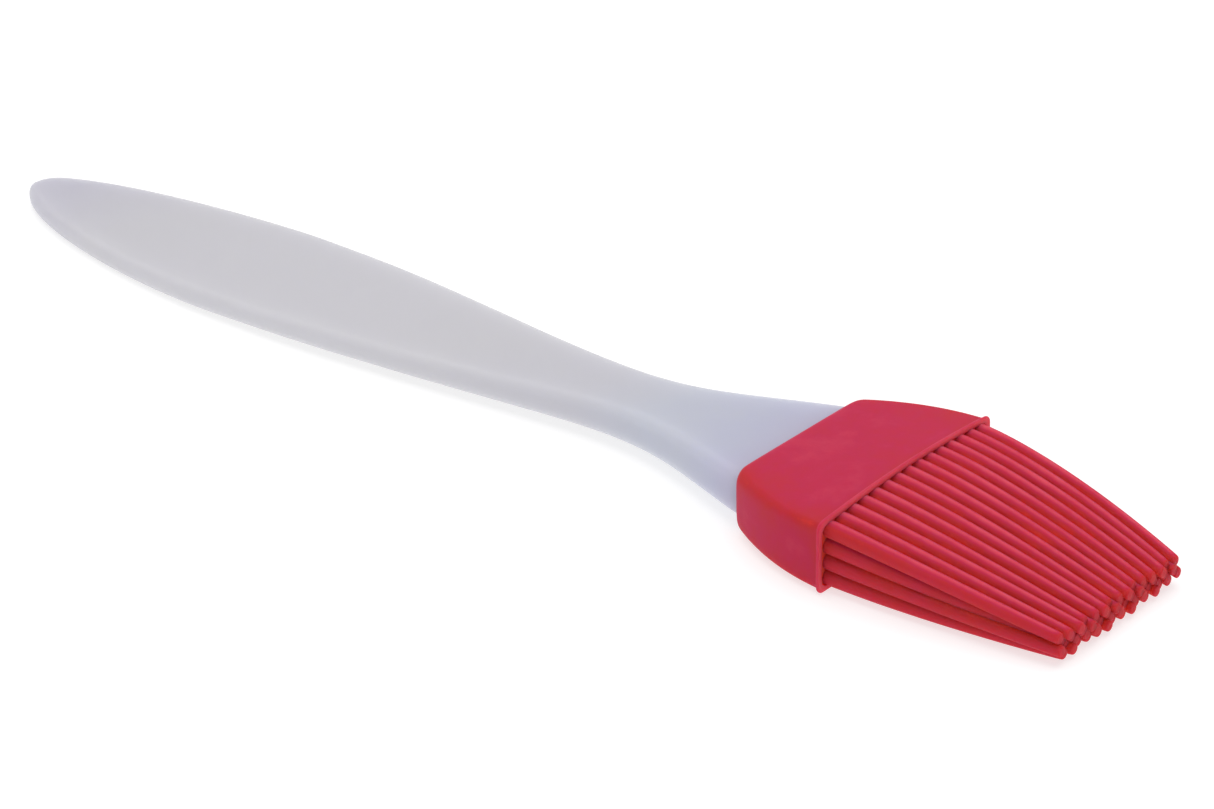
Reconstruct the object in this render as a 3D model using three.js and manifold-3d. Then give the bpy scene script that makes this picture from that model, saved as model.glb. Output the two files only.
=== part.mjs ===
// Silicone pastry brush: a flat plastic handle whose tongue slides into a soft collar, and four rows of
// tapered bristles at the collar's mouth. Millimetres. +X runs along the brush towards the bristle tips,
// +Y across it and +Z up. The origin is under the middle of the brush, on the surface it lies on.
import * as THREE from "three";
import { mergeVertices } from "three/addons/utils/BufferGeometryUtils.js";
import Module from "manifold-3d";

const wasm = await Module();
wasm.setup();

// Overall layout
const overallLength = 204;
const tuftReach = 30.7; // mouth of the collar to the longest bristle's tip
const mouthX = overallLength / 2 - tuftReach;
const buttX = -overallLength / 2;
const runningGap = 0.3; // between pieces that slide or turn past each other

// Collar
const collarLength = 16.6;
const collarBackX = mouthX - collarLength;
const collarMidZ = 4.75;
const collarBackHalfHeight = 4.15;
const collarMouthHalfHeight = 4.45;
const collarMaxHalfWidth = 17;
const collarSideRadius = 25.9; // plan radius of the barrel-shaped sides
const collarWidestX = mouthX - 1;
const collarCornerRadius = 1.4; // plan radius where the sides turn into the back
const collarEdgeRadius = 1.2;
const collarCrown = 0.85; // rise of the top face's middle at the mouth
const lipThickness = 0.6;
const lipStand = 0.3;
const lipWall = 0.25; // collar wall left round the recess behind the lip

// Tongue and its pocket
const tongueHalfWidth = 10.6;
const tongueHalfHeight = 2;
const tongueTipX = mouthX - 4.6;
const tongueCornerRadius = 1;

// Handle
const paddleX = mouthX - 117; // widest place of the grip
const paddleHalfWidth = 12.6;
const paddleExponent = 1.8; // of the superellipse that closes the butt end
const buttHalfWidth = 1; // small flat left at the very end
const buttRounding = 3.2; // length over which the butt end thins out
const buttThinnest = 0.25; // share of the thickness left at the very end
const handleEdgeRadius = 1.5;

// Distance behind the mouth and half width of the handle from the grip through the neck to the collar
const flankPoints = [
  [117, paddleHalfWidth],
  [97.5, 11.65],
  [78, 9.6],
  [63.5, 7.7],
  [49, 6],
  [42, 5.7],
  [34.5, 6.4],
  [27.5, 8.3],
  [22, 10.15],
  [16.9, 11.7],
];

// Distance behind the mouth, centre height below the collar's middle, and thickness
const sidePoints = [
  [173.3, 2.9, 3.6],
  [136.5, 2.9, 3.6],
  [97.5, 2.2, 3.6],
  [63.5, 1.7, 4.1],
  [42, 1, 4.9],
  [27.5, 0.4, 5.8],
  [16.9, 0, 6.2],
];

// Bristles
const rowCounts = [15, 14, 15, 14]; // from the top row down
const rootSpread = 30.1; // between the first and the last bristle of a row
const tipPitch = 1.57;
const rootRowSpacing = 2.05;
const tipRowSpacing = 1;
const rootRadius = 0.82;
const tipRadius = 0.42;
const rootX = mouthX + 0.45; // the hinge lines of the rows
const tipDrop = 2.4; // tips' middle below the collar's middle
const tipLean = -1.1; // the tuft leans a little to one side
const tipSkew = 1.2; // the tuft's -Y edge ends this much short of its +Y edge
const inwardBend = 1.7; // powers of the bristles' sweep
const downwardBend = 1.35;
const lengthSpread = 0.8; // unevenness of the bristles' ends
const bristleSides = 8;
const capShoulder = 0.7; // a round end's middle ring, as a share of its radius

const polypropylene = new THREE.MeshStandardMaterial({ color: 0xc8c7cd, roughness: 0.45, metalness: 0 });
const silicone = new THREE.MeshStandardMaterial({ color: 0xc23a4c, roughness: 0.5, metalness: 0 });

const brush = new THREE.Group();

function addPiece(name, geometry, material) {
  const piece = new THREE.Mesh(geometry, material);
  piece.name = name;
  brush.add(piece);
}

// Smooth value at x of a column of a points list, whose first column is the distance behind the mouth
function valueAt(points, column, x) {
  const distance = mouthX - x;
  const last = points.length - 1;
  if (distance >= points[0][0]) return points[0][column];
  if (distance <= points[last][0]) return points[last][column];
  const i = points.findIndex((point) => point[0] < distance) - 1;
  const slope = (k) => {
    const a = points[Math.max(k - 1, 0)];
    const b = points[Math.min(k + 1, last)];
    return (b[column] - a[column]) / (b[0] - a[0]);
  };
  const [start, end] = [points[i], points[i + 1]];
  const span = end[0] - start[0];
  const t = (distance - start[0]) / span;
  const ease = 3 * t ** 2 - 2 * t ** 3;
  const startPull = t ** 3 - 2 * t ** 2 + t;
  const endPull = t ** 3 - t ** 2;
  const bend = span * (startPull * slope(i) + endPull * slope(i + 1));
  return start[column] * (1 - ease) + end[column] * ease + bend;
}

// Closed outline in Y and Z of a rounded rectangle whose top may be crowned
const cornerSteps = 4;
const faceSteps = 6;
function sectionOutline({ halfWidth, top, bottom, radius, crown = 0 }) {
  const r = Math.min(radius, halfWidth, (top - bottom) / 2);
  const outline = [];
  const centres = [
    [halfWidth - r, top - r],
    [r - halfWidth, top - r],
    [r - halfWidth, bottom + r],
    [halfWidth - r, bottom + r],
  ];
  centres.forEach(([y, z], corner) => {
    for (let step = 0; step <= cornerSteps; step++) {
      const angle = ((corner + step / cornerSteps) * Math.PI) / 2;
      outline.push([y + r * Math.cos(angle), z + r * Math.sin(angle)]);
    }
    if (corner % 2 === 0) {
      const [fromY, fromZ] = outline[outline.length - 1];
      for (let step = 1; step < faceSteps; step++) outline.push([fromY * (1 - (2 * step) / faceSteps), fromZ]);
    }
  });
  return outline.map(([y, z]) => {
    const rise = z > (top + bottom) / 2 ? crown * (1 - (y / halfWidth) ** 2) : 0;
    return [y, z + rise];
  });
}

// A solid through a run of sections along X, shaped from a cylinder's grid of points
function loft(sections) {
  const outlines = sections.map(sectionOutline);
  const around = outlines[0].length;
  const geometry = new THREE.CylinderGeometry(1, 1, 1, around, sections.length - 1);
  const place = geometry.getAttribute("position");
  for (let i = 0; i < place.count; i++) {
    const [x, y, z] = [place.getX(i), place.getY(i), place.getZ(i)];
    const row = Math.round((0.5 - y) * (sections.length - 1));
    const section = sections[row];
    const onAxis = Math.hypot(x, z) < 0.5;
    const turn = Math.atan2(-x, z) / (2 * Math.PI);
    const k = Math.round((turn + 1) * around) % around;
    const middle = (section.top + section.bottom) / 2;
    const [outY, outZ] = onAxis ? [0, middle] : outlines[row][k];
    place.setXYZ(i, section.x, outY, outZ);
  }
  return geometry;
}

function toSolid(geometry) {
  const bare = geometry.clone();
  bare.deleteAttribute("normal");
  bare.deleteAttribute("uv");
  const merged = mergeVertices(bare, 1e-4);
  const mesh = new wasm.Mesh({
    numProp: 3,
    vertProperties: merged.getAttribute("position").array,
    triVerts: new Uint32Array(merged.index.array),
  });
  return new wasm.Manifold(mesh);
}

function toGeometry(solid) {
  const mesh = solid.getMesh();
  const geometry = new THREE.BufferGeometry();
  geometry.setAttribute("position", new THREE.BufferAttribute(mesh.vertProperties, 3));
  geometry.setIndex(new THREE.BufferAttribute(mesh.triVerts, 1));
  geometry.computeVertexNormals();
  return geometry;
}

// Handle: grip, neck, flared end and the tongue that goes into the collar
function handleHalfWidth(x) {
  if (x > paddleX) return valueAt(flankPoints, 1, x);
  const u = (paddleX - x) / (paddleX - buttX);
  const closing = Math.max(1 - u ** paddleExponent, 0) ** (1 / paddleExponent);
  return Math.max(paddleHalfWidth * closing, buttHalfWidth);
}

function handleSection(x) {
  const middle = collarMidZ - valueAt(sidePoints, 1, x);
  const nose = Math.min((x - buttX) / buttRounding, 1);
  const rounding = Math.max(Math.sqrt(1 - (1 - nose) ** 2), buttThinnest);
  const halfThickness = (valueAt(sidePoints, 2, x) / 2) * rounding;
  return {
    x,
    halfWidth: handleHalfWidth(x),
    top: middle + halfThickness,
    bottom: middle - halfThickness,
    radius: handleEdgeRadius,
  };
}

function tongueSection(x, growth) {
  return {
    x,
    halfWidth: tongueHalfWidth + growth,
    top: collarMidZ + tongueHalfHeight + growth,
    bottom: collarMidZ - tongueHalfHeight - growth,
    radius: tongueCornerRadius,
  };
}

function handleGeometry() {
  const shoulderX = collarBackX - runningGap;
  const noseSteps = [0, 0.15, 0.4, 0.9, 1.7, 3, 5, 8, 12, 17];
  const bodyStep = 5.5;
  const sections = noseSteps.map((step) => handleSection(buttX + step));
  for (let x = buttX + 22; x < shoulderX - bodyStep; x += bodyStep) sections.push(handleSection(x));
  sections.push(handleSection(shoulderX - bodyStep / 2), handleSection(shoulderX));
  sections.push(tongueSection(shoulderX, 0), tongueSection(tongueTipX, 0));
  return loft(sections);
}

// Collar: outer shell with its lip, less the tongue's pocket and the recess behind the lip
function collarHalfWidth(x) {
  const side = collarMaxHalfWidth - (collarWidestX - x) ** 2 / (2 * collarSideRadius);
  const intoCorner = Math.min(collarBackX + collarCornerRadius - x, collarCornerRadius);
  if (x > collarWidestX) return collarMaxHalfWidth;
  if (intoCorner <= 0) return side;
  return side - collarCornerRadius + Math.sqrt(collarCornerRadius ** 2 - intoCorner ** 2);
}

function collarSection(x, growth = 0) {
  const along = (x - collarBackX) / collarLength;
  const intoRounding = Math.max(collarBackX + collarEdgeRadius - x, 0);
  const rounding = collarEdgeRadius - Math.sqrt(collarEdgeRadius ** 2 - intoRounding ** 2);
  const flatHalfHeight = THREE.MathUtils.lerp(collarBackHalfHeight, collarMouthHalfHeight, along);
  const halfHeight = flatHalfHeight - rounding + growth;
  return {
    x,
    halfWidth: collarHalfWidth(x) + growth,
    top: collarMidZ + halfHeight,
    bottom: collarMidZ - halfHeight,
    radius: collarEdgeRadius + growth / 2,
    crown: collarCrown * along,
  };
}

function collarGeometry() {
  const backSteps = [0.05, 0.3, 0.8, 1.5, 2.2, 3.2];
  const sections = backSteps.map((step) => collarSection(collarBackX + step));
  for (let step = 5; step < collarLength - 1; step += 1.8) sections.push(collarSection(collarBackX + step));
  sections.push(collarSection(mouthX));
  const mouth = collarSection(mouthX);
  const lip = { ...mouth, halfWidth: mouth.halfWidth + lipStand };
  lip.top += lipStand;
  lip.bottom -= lipStand;
  const recess = { ...mouth, halfWidth: mouth.halfWidth - lipWall, radius: collarEdgeRadius - lipWall };
  recess.top -= lipWall;
  recess.bottom += lipWall;
  const lipBackX = mouthX - lipThickness;
  const past = 1; // how far a cut runs past the face it opens
  const pocketEnds = [collarBackX - past, tongueTipX + runningGap];
  const shell = toSolid(loft(sections));
  const lipSolid = toSolid(loft([lipBackX, mouthX].map((x) => ({ ...lip, x }))));
  const recessSolid = toSolid(loft([lipBackX, mouthX + past].map((x) => ({ ...recess, x }))));
  const pocketSolid = toSolid(loft(pocketEnds.map((x) => tongueSection(x, runningGap))));
  return toGeometry(shell.add(lipSolid).subtract(recessSolid).subtract(pocketSolid));
}

// One bristle: a tapered round rod with round ends, swept inwards and down towards its tip
function bristleGeometry({ length, fromY, toY, fromZ, toZ }) {
  const profile = [
    [0, -rootRadius],
    [rootRadius * capShoulder, -rootRadius * capShoulder],
    [rootRadius, 0],
    [THREE.MathUtils.lerp(rootRadius, tipRadius, 0.33), length * 0.33],
    [THREE.MathUtils.lerp(rootRadius, tipRadius, 0.67), length * 0.67],
    [tipRadius, length - tipRadius],
    [tipRadius * capShoulder, length - tipRadius * (1 - capShoulder)],
    [0, length],
  ];
  const geometry = new THREE.LatheGeometry(
    profile.map(([r, s]) => new THREE.Vector2(r, s)),
    bristleSides,
  );
  geometry.rotateZ(-Math.PI / 2);
  const place = geometry.getAttribute("position");
  for (let i = 0; i < place.count; i++) {
    const along = THREE.MathUtils.clamp(place.getX(i) / length, 0, 1);
    const y = fromY + (toY - fromY) * along ** inwardBend;
    const z = fromZ + (toZ - fromZ) * along ** downwardBend;
    place.setXYZ(i, rootX + place.getX(i), y + place.getY(i), z + place.getZ(i));
  }
  return geometry;
}

addPiece("handle", handleGeometry(), polypropylene);
addPiece("collar", collarGeometry(), silicone);
const topRow = (rowCounts.length - 1) / 2;
rowCounts.forEach((count, row) => {
  const fromMiddle = topRow - row;
  for (let i = 0; i < count; i++) {
    const place = i - (count - 1) / 2;
    const fromY = (place * rootSpread) / (count - 1);
    const crown = collarCrown * (1 - (fromY / collarMaxHalfWidth) ** 2) * Math.max(fromMiddle / topRow, 0);
    const shortfall = (lengthSpread * ((i * 7 + row * 3 + 6) % 10)) / 9;
    const skew = tipSkew * (0.5 - place / (rowCounts[0] - 1));
    const geometry = bristleGeometry({
      length: overallLength / 2 - rootX - shortfall - skew,
      fromY,
      toY: place * tipPitch + tipLean,
      fromZ: collarMidZ + fromMiddle * rootRowSpacing + crown,
      toZ: collarMidZ - tipDrop + fromMiddle * tipRowSpacing,
    });
    addPiece(`bristle_${row + 1}_${String(i + 1).padStart(2, "0")}`, geometry, silicone);
  }
});

export default brush;
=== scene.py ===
# Silicone pastry brush: frosted plastic handle, red silicone head, lying on a white table
import math
import random
import bpy
from mathutils import Matrix, Vector


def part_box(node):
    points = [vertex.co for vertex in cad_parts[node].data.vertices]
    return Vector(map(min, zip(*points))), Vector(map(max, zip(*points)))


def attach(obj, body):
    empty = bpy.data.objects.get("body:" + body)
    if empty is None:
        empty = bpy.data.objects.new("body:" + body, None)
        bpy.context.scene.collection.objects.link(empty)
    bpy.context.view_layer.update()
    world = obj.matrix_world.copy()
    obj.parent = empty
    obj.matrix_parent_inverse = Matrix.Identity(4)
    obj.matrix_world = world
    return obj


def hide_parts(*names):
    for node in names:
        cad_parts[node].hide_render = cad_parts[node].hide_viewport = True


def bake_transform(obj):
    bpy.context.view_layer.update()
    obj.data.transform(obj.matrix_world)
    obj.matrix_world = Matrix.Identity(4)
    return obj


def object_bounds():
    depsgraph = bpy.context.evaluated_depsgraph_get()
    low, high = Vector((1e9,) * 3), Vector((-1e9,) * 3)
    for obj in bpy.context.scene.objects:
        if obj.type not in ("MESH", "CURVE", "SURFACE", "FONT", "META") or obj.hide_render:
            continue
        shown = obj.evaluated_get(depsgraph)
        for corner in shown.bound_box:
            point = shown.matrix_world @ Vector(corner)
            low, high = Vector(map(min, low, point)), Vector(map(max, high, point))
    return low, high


mm = 0.001
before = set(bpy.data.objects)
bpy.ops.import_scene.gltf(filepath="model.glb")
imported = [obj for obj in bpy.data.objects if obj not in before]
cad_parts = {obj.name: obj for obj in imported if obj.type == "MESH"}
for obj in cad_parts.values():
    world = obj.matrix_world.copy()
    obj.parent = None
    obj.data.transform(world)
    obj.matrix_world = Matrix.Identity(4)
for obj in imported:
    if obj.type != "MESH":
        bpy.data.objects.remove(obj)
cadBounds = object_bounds()
rows = [1, 2, 3, 4]                          # bristle rows, from the top down
collarLow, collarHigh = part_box("collar")
backX, mouthX = collarLow.x, collarHigh.x    # the collar's back face, and the front face of its lip
print("frame loaded:", len(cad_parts), "CAD nodes")

camera = dict(
    lens=71.17, sensor=36.0, nearest=0.01,
    aim=(0.02012, 0.00332, 0.0),             # where the lens points on the table
    azimuth=-47.083, elevation=27.369, roll=-2.068, distance=0.31997,
)


def makeCamera():
    data = bpy.data.cameras.new("camera")
    data.lens = camera["lens"]
    data.sensor_width = camera["sensor"]
    data.clip_start = camera["nearest"]
    turn, lift = math.radians(camera["azimuth"]), math.radians(camera["elevation"])
    away = Vector((math.cos(lift) * math.cos(turn), math.cos(lift) * math.sin(turn),
                   math.sin(lift)))
    look = (-away).to_track_quat("-Z", "Y").to_matrix().to_4x4()
    place = Matrix.Translation(Vector(camera["aim"]) + away * camera["distance"])
    lens = bpy.data.objects.new("camera", data)
    lens.matrix_world = place @ look @ Matrix.Rotation(math.radians(camera["roll"]), 4, "Z")
    bpy.context.scene.collection.objects.link(lens)
    bpy.context.scene.camera = lens


def newMesh(name, points, faces, material, smooth=True):
    mesh = bpy.data.meshes.new(name)
    mesh.from_pydata([tuple(p) for p in points], [], faces)
    mesh.validate()
    for face in mesh.polygons:
        face.use_smooth = smooth
    mesh.materials.append(material)
    piece = bpy.data.objects.new(name, mesh)
    bpy.context.scene.collection.objects.link(piece)
    return piece


def skinRings(rings):                        # quads between closed rings, and a fan over each end
    around = len(rings[0])
    points = [p for ring in rings for p in ring]
    faces = []
    for i in range(len(rings) - 1):
        for k in range(around):
            n = (k + 1) % around
            near, far = i * around, (i + 1) * around
            faces.append((near + k, far + k, far + n, near + n))
    for end, flip in ((0, False), (len(rings) - 1, True)):
        middle = sum((Vector(p) for p in rings[end]), Vector()) / around
        points.append(middle)
        for k in range(around):
            n = (k + 1) % around
            fan = (end * around + k, end * around + n, len(points) - 1)
            faces.append(fan[::-1] if flip else fan)
    return points, faces


def setTone(piece, tones):                   # one tone a point, which the silicone's colour follows: it places painted highlights, painted sheen and a colour lightened where shade falls
    tone = piece.data.attributes.new("tone", "FLOAT", "POINT")
    for i, value in enumerate(tones):
        tone.data[i].value = value


def subdivide(piece, levels):
    smooth = piece.modifiers.new("smooth", "SUBSURF")
    smooth.levels = smooth.render_levels = levels


def bakeModifiers(piece):                    # what the stack makes becomes the piece's own mesh
    made = piece.evaluated_get(bpy.context.evaluated_depsgraph_get())
    mesh = bpy.data.meshes.new_from_object(made)
    piece.modifiers.clear()
    piece.data = mesh


sectionSteps = dict(corner=4, face=6, side=2)    # edges round a corner, across the top, and up a side


def sectionRing(x, halfWidth, top, bottom, radius, crown=0.0):
    r = min(radius, halfWidth, (top - bottom) / 2)
    centres = [(halfWidth - r, top - r), (r - halfWidth, top - r),
               (r - halfWidth, bottom + r), (halfWidth - r, bottom + r)]
    outline = []
    for corner, (y, z) in enumerate(centres):
        for step in range(sectionSteps["corner"] + 1):
            angle = (corner + step / sectionSteps["corner"]) * math.pi / 2
            outline.append((y + r * math.cos(angle), z + r * math.sin(angle)))
        lastY, lastZ = outline[-1]
        nextZ = centres[(corner + 1) % 4][1]
        if corner % 2 == 0:                  # along the top or the bottom
            for step in range(1, sectionSteps["face"]):
                outline.append((lastY * (1 - 2 * step / sectionSteps["face"]), lastZ))
        else:                                # down or up a side
            for step in range(1, sectionSteps["side"]):
                outline.append((lastY, lastZ + (nextZ - lastZ) * step / sectionSteps["side"]))
    middle = (top + bottom) / 2
    ring = []
    for y, z in outline:
        rise = crown * (1 - (y / halfWidth) ** 2) if z > middle else 0.0
        ring.append(Vector((x, y, z + rise)))
    return ring


def newMaterial(name):
    material = bpy.data.materials.new(name)
    material.use_nodes = True
    nodes = material.node_tree.nodes
    return material, nodes, material.node_tree.links, nodes["Principled BSDF"]


def addNoise(nodes, links, place, scale, detail, roughness=0.5):
    noise = nodes.new("ShaderNodeTexNoise")
    noise.inputs["Scale"].default_value = scale
    noise.inputs["Detail"].default_value = detail
    noise.inputs["Roughness"].default_value = roughness
    links.new(place.outputs["Object"], noise.inputs["Vector"])
    return noise.outputs["Fac"]


def addDrift(nodes, links, steady, noise, low, high, swing):    # noise moves a steady value a little
    drift = nodes.new("ShaderNodeMapRange")
    drift.inputs["From Min"].default_value = low
    drift.inputs["From Max"].default_value = high
    drift.inputs["To Min"].default_value = -swing
    drift.inputs["To Max"].default_value = swing
    links.new(noise, drift.inputs["Value"])
    total = nodes.new("ShaderNodeMath")
    total.operation = "ADD"
    links.new(steady, total.inputs[0])
    links.new(drift.outputs["Result"], total.inputs[1])
    return total.outputs["Value"]


def finishSurface(nodes, links, place, shader, look):    # fine grain, gloss, and light that soaks in
    bump = nodes.new("ShaderNodeBump")
    bump.inputs["Strength"].default_value = look["grain"]
    bump.inputs["Distance"].default_value = look["grainDepth"]
    grain = addNoise(nodes, links, place, look["grainScale"], look["grainDetail"])
    links.new(grain, bump.inputs["Height"])
    links.new(bump.outputs["Normal"], shader.inputs["Normal"])
    shader.inputs["Roughness"].default_value = look["roughness"]
    shader.inputs["Specular IOR Level"].default_value = look["gloss"]
    shader.inputs["Subsurface Weight"].default_value = look["scatter"]
    shader.inputs["Subsurface Radius"].default_value = look["scatterSpread"]
    shader.inputs["Subsurface Scale"].default_value = look["scatterDepth"]


siliconeLook = dict(
    liftedShade=(0.80, 0.066, 0.042),             # tone 0: lighter than the silicone's own red, painted light where shade falls on sides and recesses
    # fillet is the plain red; face adds a painted purple sheen, the reflection of overhead light
    fillet=(0.51, 0.034, 0.042), filletTone=0.25,
    face=(0.51, 0.029, 0.079), faceTone=0.5,
    highlight=(0.70, 0.090, 0.125),                # tone 1: a painted highlight
    mottleScale=140, mottleDetail=6, mottleRoughness=0.7,
    mottleLow=0.3, mottleHigh=0.7, mottle=0.12,
    grainScale=4200, grainDetail=2, grain=0.16, grainDepth=0.05 * mm,
    roughness=0.5, gloss=0.04, scatter=0.6, scatterSpread=(1.0, 0.12, 0.12), scatterDepth=3 * mm,
)


def siliconeMaterial():
    look = siliconeLook
    material, nodes, links, shader = newMaterial("red silicone")
    place = nodes.new("ShaderNodeTexCoord")
    tone = nodes.new("ShaderNodeAttribute")
    tone.attribute_name = "tone"
    clouds = addNoise(nodes, links, place, look["mottleScale"], look["mottleDetail"],
                      look["mottleRoughness"])
    mottled = addDrift(nodes, links, tone.outputs["Fac"], clouds,
                       look["mottleLow"], look["mottleHigh"], look["mottle"])
    ramp = nodes.new("ShaderNodeValToRGB")
    stops = ramp.color_ramp.elements
    stops[0].color = (*look["liftedShade"], 1)
    stops[1].color = (*look["highlight"], 1)
    stops.new(look["filletTone"]).color = (*look["fillet"], 1)
    stops.new(look["faceTone"]).color = (*look["face"], 1)
    links.new(mottled, ramp.inputs["Fac"])
    links.new(ramp.outputs["Color"], shader.inputs["Base Color"])
    finishSurface(nodes, links, place, shader, look)
    return material


plasticLook = dict(
    shades=[(-0.102, (0.488, 0.480, 0.532)), (-0.088, (0.502, 0.494, 0.535)),    # from the butt end
            (-0.072, (0.526, 0.520, 0.542)), (0.000, (0.530, 0.524, 0.543)),
            (0.024, (0.522, 0.518, 0.550)), (0.040, (0.500, 0.515, 0.572)),
            (0.049, (0.472, 0.480, 0.578)), (0.056, (0.460, 0.444, 0.568))],     # to the collar
    cloudScale=45, cloudDetail=4, cloudLow=0.0, cloudHigh=1.0, cloud=0.010,
    grainScale=3200, grainDetail=2, grain=0.10, grainDepth=0.04 * mm,
    roughness=0.42, gloss=0.15, scatter=1.0, scatterSpread=(1.0, 1.0, 1.1), scatterDepth=8 * mm,
)


def plasticMaterial():                       # a little bluer at the butt and towards the collar
    look = plasticLook
    material, nodes, links, shader = newMaterial("frosted polypropylene")
    place = nodes.new("ShaderNodeTexCoord")
    clouds = addNoise(nodes, links, place, look["cloudScale"], look["cloudDetail"])
    axes = nodes.new("ShaderNodeSeparateXYZ")
    links.new(place.outputs["Object"], axes.inputs["Vector"])
    clouded = addDrift(nodes, links, axes.outputs["X"], clouds,
                       look["cloudLow"], look["cloudHigh"], look["cloud"])
    (first, buttShade), *between, (last, collarShade) = look["shades"]
    along = nodes.new("ShaderNodeMapRange")
    along.inputs["From Min"].default_value = first
    along.inputs["From Max"].default_value = last
    links.new(clouded, along.inputs["Value"])
    ramp = nodes.new("ShaderNodeValToRGB")
    stops = ramp.color_ramp.elements
    stops[0].color = (*buttShade, 1)
    stops[1].color = (*collarShade, 1)
    for x, shade in between:
        stops.new((x - first) / (last - first)).color = (*shade, 1)
    links.new(along.outputs["Result"], ramp.inputs["Fac"])
    links.new(ramp.outputs["Color"], shader.inputs["Base Color"])
    finishSurface(nodes, links, place, shader, look)
    return material


handle = dict(
    edgeRadius=1.5 * mm, tongueEdge=0.8 * mm, levels=2,
    lastRing=0.2 * mm,                       # its shoulder is the last ring this far outside the collar
    intoCollar=1.6 * mm, firstInside=0.6 * mm,
    tongueStart=0.3 * mm, tongueHold=0.4 * mm,    # close rings keep the tongue's ends square
)


def sizesAlong(node):                        # x, half width, bottom and top of each ring of points
    rings = {}
    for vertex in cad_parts[node].data.vertices:
        rings.setdefault(round(vertex.co.x / mm, 2), []).append(vertex.co)
    sizes = []
    for _, points in sorted(rings.items()):
        heights = [p.z for p in points]
        sizes.append((points[0].x, max(p.y for p in points), min(heights), max(heights)))
    return sizes


handleSizes = sizesAlong("handle")
outsideSizes = [size for size in handleSizes if size[0] < backX - handle["lastRing"]]
shoulder, tongue = outsideSizes[-1][1:], handleSizes[-1][1:]    # half width, bottom and top
tongueEnd = handleSizes[-1][0]


def makeHandle(material):
    edge, hold = handle["edgeRadius"], handle["tongueHold"]
    rings = [sectionRing(x, w, top, bottom, edge) for x, w, bottom, top in outsideSizes]
    w, bottom, top = shoulder
    for inside in (handle["firstInside"], handle["intoCollar"]):
        rings.append(sectionRing(backX + inside, w, top, bottom, edge))
    w, bottom, top = tongue
    start = backX + handle["intoCollar"] + handle["tongueStart"]
    for x in (start, start + hold, tongueEnd - hold, tongueEnd):
        rings.append(sectionRing(x, w, top, bottom, handle["tongueEdge"]))
    piece = newMesh("frosted_handle", *skinRings(rings), material)
    subdivide(piece, handle["levels"])
    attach(piece, "handle")
    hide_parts("handle")


collar = dict(
    widest=17 * mm, widestX=mouthX - 1 * mm, sideRadius=25.9 * mm,    # the barrel sides
    backHalfHeight=4.2 * mm, mouthHalfHeight=4.45 * mm, middle=4.75 * mm, crown=0.85 * mm,
    backEdge=1.8 * mm, mouthEdge=1.0 * mm, backRound=1.3 * mm, backFlatten=0.62,
    barrel=(0.9, 0.8, 0.7, 0.6, 0.5, 0.4, 0.3, 0.22, 0.16),    # rings, from the mouth, 1, to the back, 0
    backAngles=(0, 22.5, 45, 67.5, 90), levels=2,
    lipThickness=0.5 * mm, lipStand=0.28 * mm, lipWall=0.45 * mm, lipEdge=0.12 * mm,
    rimInset=0.15 * mm, creaseLength=0.02 * mm, creaseStand=0.08 * mm, footLength=0.15 * mm,
    recess=0.35 * mm, recessFoot=0.2 * mm,   # the web behind the bristles lies back from the mouth
    webMargin=0.25 * mm, webMiddle=1.2 * mm, webMiddleEdge=0.5 * mm,
    pocket=dict(                             # round the handle's end, then a step down round its tongue
        gap=0.06 * mm, flare=0.06 * mm, flareDepth=0.15 * mm, edge=1.5 * mm,
        stepDepth=0.6 * mm, stepEdge=0.1 * mm,
        tongueEdge=0.9 * mm, tongueFoot=0.3 * mm, pastTongue=(0.1 * mm, 0.3 * mm),
    ),
    tones=dict(
        # painted light: the web and ends take the lightened shade colour, the lip takes painted
        # highlights, brightest along its front edge
        web=0.0, highlight=0.95, lipSide=0.65, lipBack=0.5, lipFoot=0.4, ends=0.0,
        face=0.5, edge=(0.42, 0.32, 0.26, 0.32, 0.42),    # long edges are redder than the faces, since only the faces carry the painted purple sheen
    ),
)


def collarRing(x, growth=0.0, radius=None):
    along = (x - backX) / (mouthX - backX)
    side = collar["widest"]
    if x < collar["widestX"]:
        side -= (collar["widestX"] - x) ** 2 / (2 * collar["sideRadius"])
    halfHeight = collar["backHalfHeight"]
    halfHeight += (collar["mouthHalfHeight"] - collar["backHalfHeight"]) * along
    edge = radius or collar["backEdge"] + (collar["mouthEdge"] - collar["backEdge"]) * along
    top, bottom = collar["middle"] + halfHeight + growth, collar["middle"] - halfHeight - growth
    return sectionRing(x, side + growth, top, bottom, edge, collar["crown"] * along)


def barrelTone(step):                        # the same round each half of the section: painted purple sheen on the faces, less of it on the rounded edges
    corner = sectionSteps["corner"] + 1
    top, side = corner + sectionSteps["face"] - 1, corner + sectionSteps["side"] - 1
    step %= top + side
    step = step if step < top else step - top
    return collar["tones"]["edge"][step] if step < corner else collar["tones"]["face"]


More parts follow.
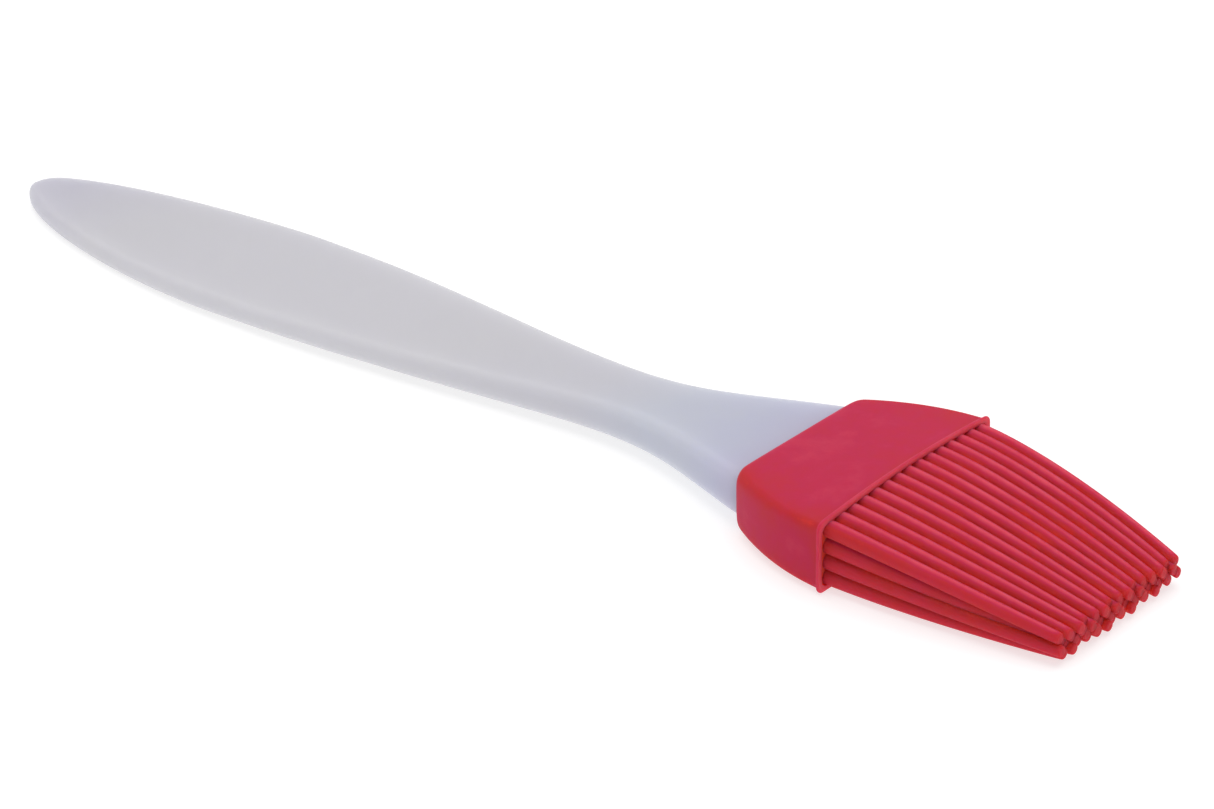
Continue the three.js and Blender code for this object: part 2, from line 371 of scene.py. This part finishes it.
def makeCollar(material):
    c, tone = collar, collar["tones"]
    webX, inner = mouthX - c["recess"], -c["lipWall"]
    lipBack, stand, edge = mouthX - c["lipThickness"], c["lipStand"], c["lipEdge"]
    lip = (                                  # from the web out round the lip: x, growth, tone
        (webX, inner - c["webMargin"], tone["web"]),
        (webX, inner, tone["web"]),
        (webX + c["recessFoot"], inner, tone["web"]),
        (mouthX - edge, inner, tone["highlight"]),
        (mouthX, inner + edge, tone["highlight"]),
        (mouthX, stand - c["rimInset"], tone["highlight"]),
        (mouthX - edge, stand, tone["lipSide"]),
        (lipBack + edge, stand, tone["lipSide"]),
        (lipBack, stand - edge, tone["lipBack"]),
        (lipBack - c["creaseLength"], c["creaseStand"], tone["lipFoot"]),
        (lipBack - c["footLength"], 0.0, tone["lipFoot"]),
    )
    rings = [collarRing(webX, inner - c["webMiddle"], c["webMiddleEdge"])]
    rings += [collarRing(x, growth) for x, growth, _ in lip]
    around = len(rings[0])
    tones = [level for level in (tone["web"], *(level for _, _, level in lip)) for _ in range(around)]
    rings += [collarRing(backX + (mouthX - backX) * part) for part in c["barrel"]]
    for angle in c["backAngles"]:
        turn = math.radians(angle)
        inward = c["backRound"] * (1 - math.cos(turn)) * c["backFlatten"]
        rings.append(collarRing(backX + c["backRound"] * (1 - math.sin(turn)), -inward))
    rings += pocketRings()
    tones += [barrelTone(k) for k in range(around)] * (len(rings) - 1 - len(lip))
    piece = newMesh("silicone_collar", *skinRings(rings), material)
    setTone(piece, tones + [tone["ends"]] * 2)
    subdivide(piece, c["levels"])
    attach(piece, "head")
    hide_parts("collar")


def pocketRings():
    p = collar["pocket"]
    gap, flare = p["gap"], p["gap"] + p["flare"]
    w, bottom, top = shoulder
    rings = [sectionRing(backX, w + flare, top + flare, bottom - flare, p["edge"])]
    step = backX + handle["intoCollar"] + p["stepDepth"]
    for x in (backX + p["flareDepth"], step - p["stepEdge"]):
        rings.append(sectionRing(x, w + gap, top + gap, bottom - gap, p["edge"]))
    w, bottom, top = tongue
    gap *= 2
    for x in (step, step + p["tongueFoot"], *(tongueEnd + past for past in p["pastTongue"])):
        rings.append(sectionRing(x, w + gap, top + gap, bottom - gap, p["tongueEdge"]))
    return rings


bristle = dict(
    rootRadius=1.18 * mm, tipRadius=0.76 * mm, taper=1.15, sides=8, steps=10, levels=2,
    end={0.98: 1.0, 0.996: 0.97, 1.0: 0.84},    # what is left of the radius close to the end
    intoWeb=1.5 * mm, inwardBend=1.7, downwardBend=1.35, bendLength=20 * mm,
    tipMiddle=2.35 * mm, closeUp=0.25,       # the rows' tips draw together round this height
    seed=7, groupSizes=(1, 2, 2, 3), bunch=0.10 * mm, stray=0.05 * mm, nudgeBend=2,
    tones=dict(
        outer=0.85, outerFade=3.0,           # painted highlight on the side facing up on the top rows, down on the bottom ones
        flank=0.32, flankFade=0.5,           # painted light on the outer flank, outwards, at both ends of a row
        root=0.0, end=0.3, endFrom=0.99,
    ),
)


def makeBristle(name, root, tip, nudge, paintedFacings, material):
    b = bristle
    length = tip.x - root.x
    rings, tones = [], []
    stops = [-b["intoWeb"] / length] + [k / b["steps"] for k in range(b["steps"])] + list(b["end"])
    for stop in stops:
        along = max(stop, 0.0)
        radius = b["rootRadius"] + (b["tipRadius"] - b["rootRadius"]) * along ** b["taper"]
        radius *= b["end"].get(stop, 1.0)
        pull = along ** b["nudgeBend"]
        centre = Vector((
            root.x + length * stop,
            root.y + (tip.y - root.y) * along ** b["inwardBend"] + nudge.y * pull,
            root.z + (tip.z - root.z) * along ** b["downwardBend"] + nudge.z * pull,
        ))
        ring = []
        for k in range(b["sides"]):
            angle = 2 * math.pi * k / b["sides"]
            facing = Vector((0, math.cos(angle), math.sin(angle)))
            ring.append(centre + Vector((0, radius * math.cos(angle), radius * math.sin(angle))))
            # facings that no listed way reaches get tone 0, the colour lightened where shade falls
            side = max(tone * max(facing.dot(way), 0.0) ** fade for way, tone, fade in paintedFacings)
            tones.append(b["tones"]["end"] if stop > b["tones"]["endFrom"] else side)
        rings.append(ring)
    piece = newMesh(name, *skinRings(rings), material)
    setTone(piece, tones + [b["tones"]["root"], b["tones"]["end"]])
    subdivide(piece, b["levels"])
    return piece


def makeBristles(material):
    tones = bristle["tones"]
    rand = random.Random(bristle["seed"])
    for row in rows:
        nodes = sorted(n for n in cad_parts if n.startswith(f"bristle_{row}_"))
        outward = Vector((0, 0, 1 if row <= len(rows) / 2 else -1))
        groups = []                          # neighbours that cling together: first one, how many
        while len(groups) < len(nodes):
            size = rand.choice(bristle["groupSizes"])
            groups += [(len(groups), size)] * size
        for i, node in enumerate(nodes):
            points = [v.co.copy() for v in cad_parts[node].data.vertices]
            root, *_, tip = sorted(points, key=lambda p: p.x)
            tip.z += (bristle["tipMiddle"] - tip.z) * bristle["closeUp"]
            first, size = groups[i]
            fromCentre = first + (size - 1) / 2 - i
            nudge = Vector((0, fromCentre * bristle["bunch"] + rand.uniform(-1, 1) * bristle["stray"],
                            rand.uniform(-1, 1) * bristle["stray"]))
            paintedFacings = [(outward, tones["outer"], tones["outerFade"])]
            if i in (0, len(nodes) - 1):
                aside = Vector((0, math.copysign(1, root.y), 0))
                paintedFacings.append((aside, tones["flank"], tones["flankFade"]))
            piece = makeBristle(f"silicone_{node}", root, tip, nudge, paintedFacings, material)
            bakeModifiers(piece)
            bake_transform(piece)
            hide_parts(node)
        print("bristle row", row, "has", len(nodes))


studio = dict(
    tableSize=6.0, tableBelow=0.02 * mm, tableColour=(0.45, 0.45, 0.45),
    tableRoughness=0.9, tableGloss=0.1, tableGlow=0.66, glowColour=(1.0, 1.0, 1.0),
    world=(1.0, 1.0, 1.0), worldStrength=0.53,
    lamp=dict(place=(0.0, 0.08, 0.8), aim=(0.02, 0, 0), size=0.9, power=4.6, colour=(1.0, 0.99, 1.0)),
)


def makeTable():
    material, _, _, shader = newMaterial("white table")
    shader.inputs["Base Color"].default_value = (*studio["tableColour"], 1)
    shader.inputs["Roughness"].default_value = studio["tableRoughness"]
    shader.inputs["Specular IOR Level"].default_value = studio["tableGloss"]
    shader.inputs["Emission Color"].default_value = (*studio["glowColour"], 1)
    shader.inputs["Emission Strength"].default_value = studio["tableGlow"]
    half = studio["tableSize"] / 2
    low = cadBounds[0][2] - studio["tableBelow"]
    corners = [(-half, -half, low), (half, -half, low), (half, half, low), (-half, half, low)]
    newMesh("table", corners, [(0, 1, 2, 3)], material, smooth=False)


def makeLight():
    lamp = studio["lamp"]
    data = bpy.data.lights.new("overhead", "AREA")
    data.shape = "SQUARE"
    data.size = lamp["size"]
    data.energy = lamp["power"]
    data.color = lamp["colour"]
    light = bpy.data.objects.new("overhead", data)
    beam = Vector(lamp["aim"]) - Vector(lamp["place"])
    turned = beam.to_track_quat("-Z", "Y").to_matrix().to_4x4()
    light.matrix_world = Matrix.Translation(lamp["place"]) @ turned
    bpy.context.scene.collection.objects.link(light)
    world = bpy.data.worlds.new("studio")
    world.use_nodes = True
    sky = world.node_tree.nodes["Background"]
    sky.inputs["Color"].default_value = (*studio["world"], 1)
    sky.inputs["Strength"].default_value = studio["worldStrength"]
    bpy.context.scene.world = world


makeCamera()
makeTable()
makeLight()
bpy.context.scene.view_settings.view_transform = "Standard"
print("camera and studio ready")
silicone = siliconeMaterial()
plastic = plasticMaterial()
makeHandle(plastic)
print("handle made")
makeCollar(silicone)
print("collar made")
makeBristles(silicone)
